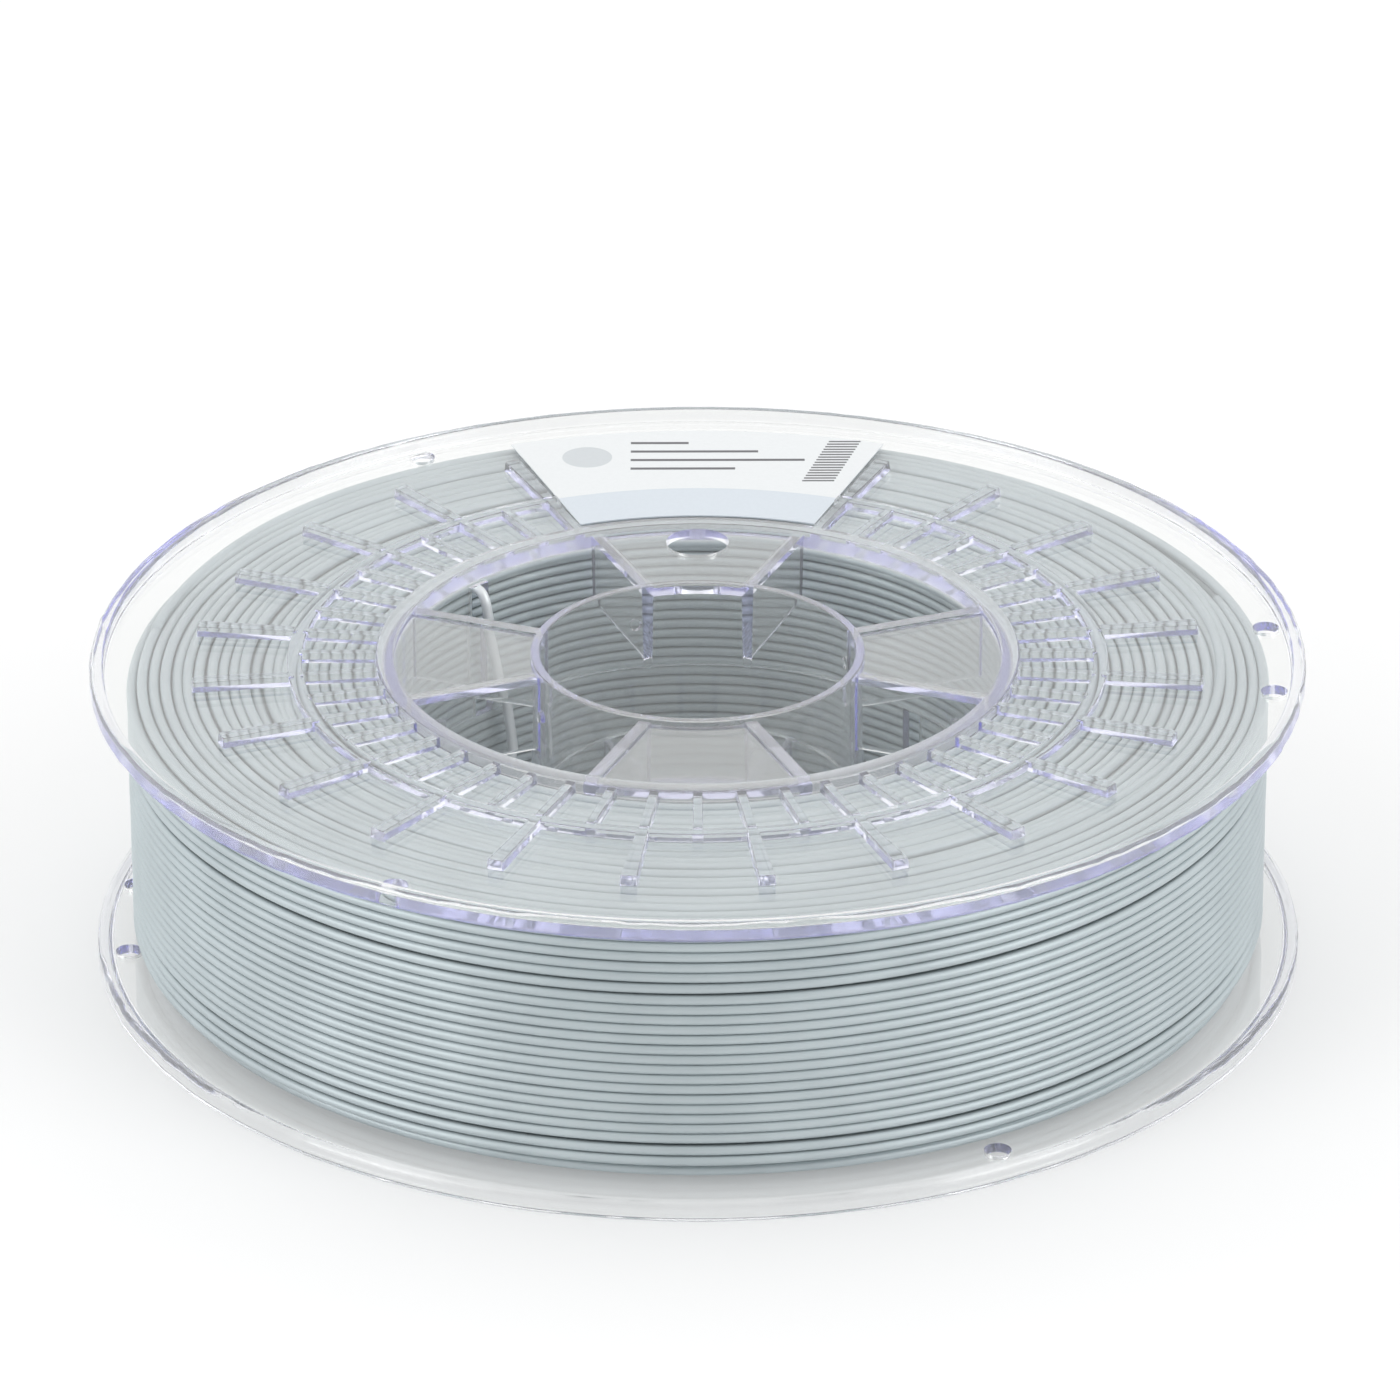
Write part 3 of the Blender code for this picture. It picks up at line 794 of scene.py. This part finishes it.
def outer_layer_path():
    """The outer layer: up through a rim hole, round in turns to the upper flange, and tucked in there."""
    turns = strand_turns(OUTER_TURNS, STRAND_STEPS)
    slack = (STRAND_HIGH - OUTER_FIRST) - OUTER_TURNS * FILAMENT_DIAMETER
    heights = OUTER_FIRST + FILAMENT_DIAMETER * turns
    for place, gap in OUTER_LOOSE_SPOTS:
        heights += gap * smooth_step((turns - place) / LOOSE_SPOT_TURNS)
        slack -= gap
    heights += slack * turns / OUTER_TURNS
    lead = smooth_step(turns / LEAD_IN_TURNS)
    start = WINDING_LOW + FILAMENT_RADIUS
    heights = start + (heights - start) * lead
    radii = RIM_HOLE_CIRCLE + (LAYER_RADIUS - RIM_HOLE_CIRCLE) * lead
    radii -= wander(turns, OUTER_SEED, OUTER_WANDER)
    radii -= FILAMENT_DIAMETER * smooth_step(1 - (OUTER_TURNS - turns) / TUCK_TURNS)
    path = circle_points(radii, FREE_END_DEG + LEAD_IN_DEG + 360 * turns, heights)
    rise = np.linspace(LAYER_LOW.z + FILAMENT_RADIUS, WINDING_LOW, THREADED_POINTS)
    threaded = circle_points(RIM_HOLE_CIRCLE, np.full(THREADED_POINTS, FREE_END_DEG), rise)
    return np.concatenate([threaded, path])


def whole_tenths(turns):
    """A count of turns, cut to whole tenths."""
    return math.floor(turns * 10) / 10


def inner_layer_path():
    """The innermost layer, which shows through the barrel, from the slot downwards."""
    high = START_ROUTE[0][2]
    count = whole_tenths((high - STRAND_LOW) / FILAMENT_DIAMETER)
    turns = strand_turns(count, HIDDEN_STRAND_STEPS)
    radii = INNER_RADIUS + wander(turns, INNER_SEED, INNER_WANDER)
    heights = high - (high - STRAND_LOW) * turns / count
    return circle_points(radii, SLOT_DEG - 360 * turns, heights)


def face_path(height, inward, seed, steps):
    """The last turns of all layers, side by side under a flange, with a short climb between rings."""
    room = LAYER_RADIUS - FILAMENT_DIAMETER - INNER_RADIUS
    climbs = math.floor(room / (FILAMENT_DIAMETER + STRAND_GAP))
    turns = strand_turns(RING_TURNS * climbs + 1, steps)
    radii = np.full(len(turns), INNER_RADIUS)
    for climb in range(1, climbs + 1):
        radii += room / climbs * smooth_step((turns - RING_TURNS * climb) / CLIMB_TURNS)
    radii -= wander(turns, seed + 1, FACE_SWAY, FACE_WANDER_TURNS)
    heights = height + inward * wander(turns, seed, FACE_WANDER, FACE_WANDER_TURNS)
    return circle_points(radii, 360 * turns, heights)


def under_layer_path():
    """The layer under the outer one, which shows where the outer one leaves off."""
    rise = WINDING_HIGH - 2 * FILAMENT_DIAMETER - STRAND_LOW
    count = whole_tenths(rise / (FILAMENT_DIAMETER + STRAND_GAP))
    turns = strand_turns(count, HIDDEN_STRAND_STEPS)
    radius = LAYER_RADIUS - FILAMENT_DIAMETER
    return circle_points(radius, -360 * turns, STRAND_LOW + rise * turns / count)


def add_strand(shape, path, sides, turn_steps, upright, painted_shade_depth):
    """A round strand along a path, with a painted groove shade that rises where it faces the turn before
    or after it.

    The turns lie above each other if upright, and else side by side. turn_steps is the points in a turn,
    and is less than 0 on a path that goes down.
    """
    painted_groove_shade = shape.verts.layers.float.get("painted_groove_shade") or shape.verts.layers.float.new("painted_groove_shade")
    tangents = np.gradient(path, axis=0)
    tangents /= np.linalg.norm(tangents, axis=1)[:, None]
    outward = path * (1, 1, 0)
    across = outward - tangents * np.sum(outward * tangents, axis=1)[:, None]
    across /= np.linalg.norm(across, axis=1)[:, None]
    over = np.cross(tangents, across)
    spokes = np.linspace(0, 2 * math.pi, sides, endpoint=False)
    spread = np.stack([across * math.cos(spoke) + over * math.sin(spoke) for spoke in spokes], axis=1)
    rings = add_loops(shape, path[:, None] + FILAMENT_RADIUS * spread, False)
    facing = spread[:, :, 2] if upright else np.sum(spread * across[:, None], axis=2)
    beside = np.arange(len(path))[:, None] + turn_steps * np.sign(facing)
    depths = painted_shade_depth * np.abs(facing) * ((beside >= 0) & (beside < len(path)))
    for ring, ring_depths in zip(rings, depths):
        for vert, depth in zip(ring, ring_depths):
            vert[painted_groove_shade] = depth


def add_noise(tree, scale, detail=NOISE_DETAIL):
    """Noise in the object's own space; scale is in waves per metre."""
    place = tree.nodes.new("ShaderNodeTexCoord")
    noise = tree.nodes.new("ShaderNodeTexNoise")
    noise.inputs["Scale"].default_value = scale
    noise.inputs["Detail"].default_value = detail
    tree.links.new(place.outputs["Object"], noise.inputs["Vector"])
    return noise.outputs["Fac"]


def add_ramp(tree, value, stops):
    """Colours along a value, from two stops of (position, colour)."""
    ramp = tree.nodes.new("ShaderNodeValToRGB")
    for element, (position, colour) in zip(ramp.color_ramp.elements, stops):
        element.position = position
        element.color = (*colour, 1)
    tree.links.new(value, ramp.inputs["Fac"])
    return ramp.outputs["Color"]


def add_bump(tree, height, distance, shader):
    """Raise a shader's surface by a height value times a distance in metres."""
    bump = tree.nodes.new("ShaderNodeBump")
    bump.inputs["Distance"].default_value = distance
    tree.links.new(height, bump.inputs["Height"])
    tree.links.new(bump.outputs["Normal"], shader.inputs["Normal"])


def filament_plastic(name, tones):
    """Silver-grey plastic with metal flakes, uneven in tone along the strand, with painted shade in the
    grooves where its turns touch.
    """
    material, tree, output = new_material(name)
    shader = tree.nodes.new("ShaderNodeBsdfPrincipled")
    shader.inputs["Roughness"].default_value = FILAMENT_ROUGHNESS
    shader.inputs["Metallic"].default_value = FILAMENT_METAL
    shader.inputs["IOR"].default_value = FILAMENT_IOR
    tone = add_ramp(tree, add_noise(tree, FILAMENT_TONE_SCALE, FILAMENT_TONE_DETAIL), tones)
    # Painted shade in the grooves, multiplied into the filament's colour
    painted_groove_shade = tree.nodes.new("ShaderNodeAttribute")
    painted_groove_shade.attribute_name = "painted_groove_shade"
    shade = add_ramp(tree, painted_groove_shade.outputs["Fac"], PAINTED_GROOVE_SHADES)
    mix = tree.nodes.new("ShaderNodeMix")
    mix.data_type = "RGBA"
    mix.blend_type = "MULTIPLY"
    mix.inputs[MIX_FACTOR].default_value = 1.0
    tree.links.new(tone, mix.inputs[MIX_FIRST_COLOUR])
    tree.links.new(shade, mix.inputs[MIX_SECOND_COLOUR])
    tree.links.new(mix.outputs[MIX_RESULT_COLOUR], shader.inputs["Base Color"])
    add_bump(tree, add_noise(tree, FILAMENT_GRAIN_SCALE), FILAMENT_GRAIN, shader)
    tree.links.new(shader.outputs[0], output.inputs["Surface"])
    return material


def make_outer_layer(material):
    """The outer layer of turns."""
    shape = bmesh.new()
    add_strand(shape, outer_layer_path(), STRAND_SIDES, STRAND_STEPS, True, OUTER_PAINTED_SHADE)
    mesh = finished_mesh(shape, "filament_outer_layer")
    mesh.shade_smooth()
    add_piece("filament_wound_layer", mesh, material, "lower", "filament_outer_layer")


def make_core(material):
    """The inner layers: the turns that show through the flanges and the barrel, round a plain body."""
    shape = bmesh.new()
    upper_face = face_path(STRAND_HIGH, -1, UPPER_FACE_SEED, STRAND_STEPS)
    lower_face = face_path(STRAND_LOW, 1, LOWER_FACE_SEED, HIDDEN_STRAND_STEPS)
    add_strand(shape, upper_face, STRAND_SIDES, STRAND_STEPS, False, FACE_PAINTED_SHADE)
    add_strand(shape, lower_face, HIDDEN_STRAND_SIDES, HIDDEN_STRAND_STEPS, False, FACE_PAINTED_SHADE)
    add_strand(shape, inner_layer_path(), STRAND_SIDES, -HIDDEN_STRAND_STEPS, True, INNER_PAINTED_SHADE)
    add_strand(shape, under_layer_path(), HIDDEN_STRAND_SIDES, HIDDEN_STRAND_STEPS, True, OUTER_PAINTED_SHADE)
    add_turned(shape, box_profile(
        INNER_RADIUS + FILAMENT_RADIUS,
        LAYER_RADIUS - FILAMENT_DIAMETER - FILAMENT_RADIUS,
        STRAND_LOW + FILAMENT_DIAMETER,
        STRAND_HIGH - FILAMENT_DIAMETER,
    ))
    mesh = finished_mesh(shape, "filament_core")
    mesh.shade_smooth()
    add_piece("filament_wound_core", mesh, material, "lower", "filament_core")


def smooth_route(route, point_gap):
    """Points about point_gap apart on a smooth curve through the route's own points."""
    ends = [route[0] * 2 - route[1], *route, route[-1] * 2 - route[-2]]
    points = [route[0]]
    for before, start, end, after in zip(ends, ends[1:], ends[2:], ends[3:]):
        steps = max(1, round((end - start).length / point_gap))
        for step in range(1, steps + 1):
            t = step / steps
            bend_in = start * 2 + (end - before) * t
            bend_out = (before * 2 - start * 5 + end * 4 - after) * t**2
            settle = (start * 3 - before - end * 3 + after) * t**3
            points.append((bend_in + bend_out + settle) / 2)
    return points


def make_start_strand(material):
    """The start of the filament, through the slot and down inside the barrel."""
    points = smooth_route([Vector(point) for point in START_ROUTE], START_POINT_GAP)
    curve = bpy.data.curves.new("filament_start_strand", "CURVE")
    curve.dimensions = "3D"
    curve.bevel_depth = FILAMENT_RADIUS
    curve.bevel_resolution = START_BEVEL_STEPS
    curve.use_fill_caps = True
    spline = curve.splines.new("POLY")
    spline.points.add(len(points) - 1)
    for target, point in zip(spline.points, points):
        target.co = (*point, 1.0)
    spline.use_smooth = True
    strand = add_piece("filament_start_strand", curve, material, "lower", "filament_start_tail")


def printed_paper(name, colour):
    """Coated paper in one colour, with a faint fibre tone and grain."""
    material, tree, output = new_material(name)
    shader = tree.nodes.new("ShaderNodeBsdfPrincipled")
    shader.inputs["Roughness"].default_value = PAPER_ROUGHNESS
    paler = [min(1.0, channel * PAPER_TONE) for channel in colour]
    tone = add_ramp(tree, add_noise(tree, PAPER_FIBRE_SCALE), zip(PAPER_STOPS, (colour, paler)))
    tree.links.new(tone, shader.inputs["Base Color"])
    add_bump(tree, add_noise(tree, PAPER_FIBRE_SCALE), PAPER_GRAIN, shader)
    tree.links.new(shader.outputs[0], output.inputs["Surface"])
    return material


def label_sheet():
    """The label's sheet, with its inner band's faces in the second material."""
    low = HALF_WIDTH + PLATE_TOP + LABEL_LIFT
    high = low + LABEL_THICKNESS
    shape = bmesh.new()
    start = BARE_DEG - LABEL_HALF_DEG
    end = BARE_DEG + LABEL_HALF_DEG
    profile = [
        (LABEL_INNER, low, 0),
        (LABEL_OUTER, low, 0),
        (LABEL_OUTER, high, 0),
        (LABEL_BAND, high, 0),
        (LABEL_INNER, high, 0),
    ]
    add_arc_bar(shape, profile, start, end)
    for face in shape.faces:
        if face.calc_center_median().xy.length < LABEL_BAND:
            face.material_index = BAND_INDEX
    return shape, high


def add_print(shape, outline, height, index):
    """A flat printed patch with this outline, a little above the paper."""
    loops = []
    for level in (height - LABEL_THICKNESS / 2, height + PRINT_THICKNESS):
        loops.append([Vector((x, y, level)) for x, y in outline])
    first = len(shape.faces)
    add_loops(shape, loops, False)
    shape.faces.ensure_lookup_table()
    for face in shape.faces[first:]:
        face.material_index = index


def make_label():
    """The paper label on the upper flange's bare sector, with a plain disc, rules and even stripes."""
    shape, height = label_sheet()
    for line, width in enumerate(RULE_WIDTHS):
        middle = RULE_FIRST - line * RULE_STEP
        add_print(shape, bar(RULE_LEFT, RULE_LEFT + width, middle, RULE_THICKNESS), height, INK_INDEX)
    disc = [on_circle(DISC_RADIUS, 360 * step / HOLE_SEGMENTS, 0).xy for step in range(HOLE_SEGMENTS)]
    add_print(shape, [(x + DISC_PLACE[0], y + DISC_PLACE[1]) for x, y in disc], height, DISC_INDEX)
    for stripe in range(STRIPE_COUNT):
        middle = STRIPE_FIRST + stripe * STRIPE_STEP
        left = middle * STRIPE_SLOPE - STRIPE_LENGTH / 2
        add_print(shape, bar(left, left + STRIPE_LENGTH, middle, STRIPE_STEP / 2), height, INK_INDEX)
    mesh = finished_mesh(shape, "label_sheet")
    paper = printed_paper("label_white", LABEL_WHITE)
    add_piece("label_sheet", mesh, paper, "upper", "label")
    for name, colour in (("label_band", LABEL_BLUE), ("label_ink", LABEL_INK), ("label_disc", LABEL_GREY)):
        mesh.materials.append(printed_paper(name, colour))


def make_floor():
    """A white floor that is lit from below as well, like a light table."""
    shape = bmesh.new()
    bmesh.ops.create_circle(shape, cap_ends=True, segments=HOLE_SEGMENTS, radius=FLOOR_RADIUS)
    floor = bpy.data.objects.new("floor", finished_mesh(shape, "floor"))
    floor.location.z = -FLOOR_DROP
    bpy.context.scene.collection.objects.link(floor)
    material, tree, output = new_material("floor_white")
    shader = tree.nodes.new("ShaderNodeBsdfPrincipled")
    shader.inputs["Base Color"].default_value = (*FLOOR_COLOUR, 1)
    shader.inputs["Roughness"].default_value = 1.0
    shader.inputs["Specular IOR Level"].default_value = 0.0
    shader.inputs["Emission Color"].default_value = WHITE
    shader.inputs["Emission Strength"].default_value = FLOOR_GLOW
    tree.links.new(shader.outputs[0], output.inputs["Surface"])
    floor.data.materials.append(material)


def add_math(tree, operation, *values):
    """The result of a math node; values are numbers or outputs of other nodes."""
    node = tree.nodes.new("ShaderNodeMath")
    node.operation = operation
    for socket, value in zip(node.inputs, values):
        if isinstance(value, (int, float)):
            socket.default_value = value
        else:
            tree.links.new(value, socket)
    return node.outputs[0]


def patch_glow(tree, direction, azimuth, elevation, reach, glow):
    """The glow of a round patch of the surround, with a soft edge."""
    rise = math.radians(elevation)
    facing = tree.nodes.new("ShaderNodeVectorMath")
    facing.operation = "DOT_PRODUCT"
    facing.inputs[1].default_value = on_circle(math.cos(rise), azimuth, math.sin(rise))
    tree.links.new(direction, facing.inputs[0])
    edge = tree.nodes.new("ShaderNodeMapRange")
    edge.interpolation_type = "SMOOTHSTEP"
    edge.inputs["From Min"].default_value = math.cos(math.radians(reach))
    edge.inputs["From Max"].default_value = math.cos(math.radians(PATCH_CORE_DEG))
    edge.inputs["To Max"].default_value = glow
    tree.links.new(facing.outputs["Value"], edge.inputs["Value"])
    return edge.outputs[0]


def make_world():
    """A white surround with soft bright patches, brightest at the front left and the front right."""
    world = bpy.data.worlds.new("studio")
    world.use_nodes = True
    bpy.context.scene.world = world
    tree = world.node_tree
    tree.nodes.clear()
    output = tree.nodes.new("ShaderNodeOutputWorld")
    background = tree.nodes.new("ShaderNodeBackground")
    background.inputs["Color"].default_value = WHITE
    direction = tree.nodes.new("ShaderNodeTexCoord").outputs["Generated"]
    glow = SURROUND_GLOW
    for patch in STUDIO_PATCHES:
        glow = add_math(tree, "ADD", glow, patch_glow(tree, direction, *patch))
    tree.links.new(glow, background.inputs["Strength"])
    tree.links.new(background.outputs[0], output.inputs[0])


def set_view():
    """Plain colours, so that the surround stays white, and enough bounces for clear plastic."""
    scene = bpy.context.scene
    scene.view_settings.view_transform = "Standard"
    scene.cycles.max_bounces = CLEAR_BOUNCES
    scene.cycles.glossy_bounces = CLEAR_BOUNCES
    scene.cycles.transmission_bounces = CLEAR_BOUNCES
    scene.cycles.transparent_max_bounces = PASSING_BOUNCES


def make_camera():
    """The camera at the photograph's viewing angle."""
    data = bpy.data.cameras.new("camera")
    data.sensor_fit = "HORIZONTAL"
    data.sensor_width = CAMERA_SENSOR
    data.lens = CAMERA_LENS
    camera = bpy.data.objects.new("camera", data)
    bpy.context.scene.collection.objects.link(camera)
    aim = Vector(CAMERA_AIM) - Vector(CAMERA_PLACE)
    facing = aim.to_track_quat("-Z", "Y").to_matrix()
    camera.matrix_world = Matrix.Translation(CAMERA_PLACE) @ (
        facing @ Matrix.Rotation(math.radians(CAMERA_ROLL_DEG), 3, "Z")
    ).to_4x4()
    bpy.context.scene.camera = camera


filament = filament_plastic("filament_plastic", FILAMENT_TONES)
make_camera()
make_start_strand(filament_plastic("filament_plastic_lighter", LIGHTER_TONES))
make_halves()
make_outer_layer(filament)
make_core(filament)
make_label()
make_floor()
make_world()
set_view()
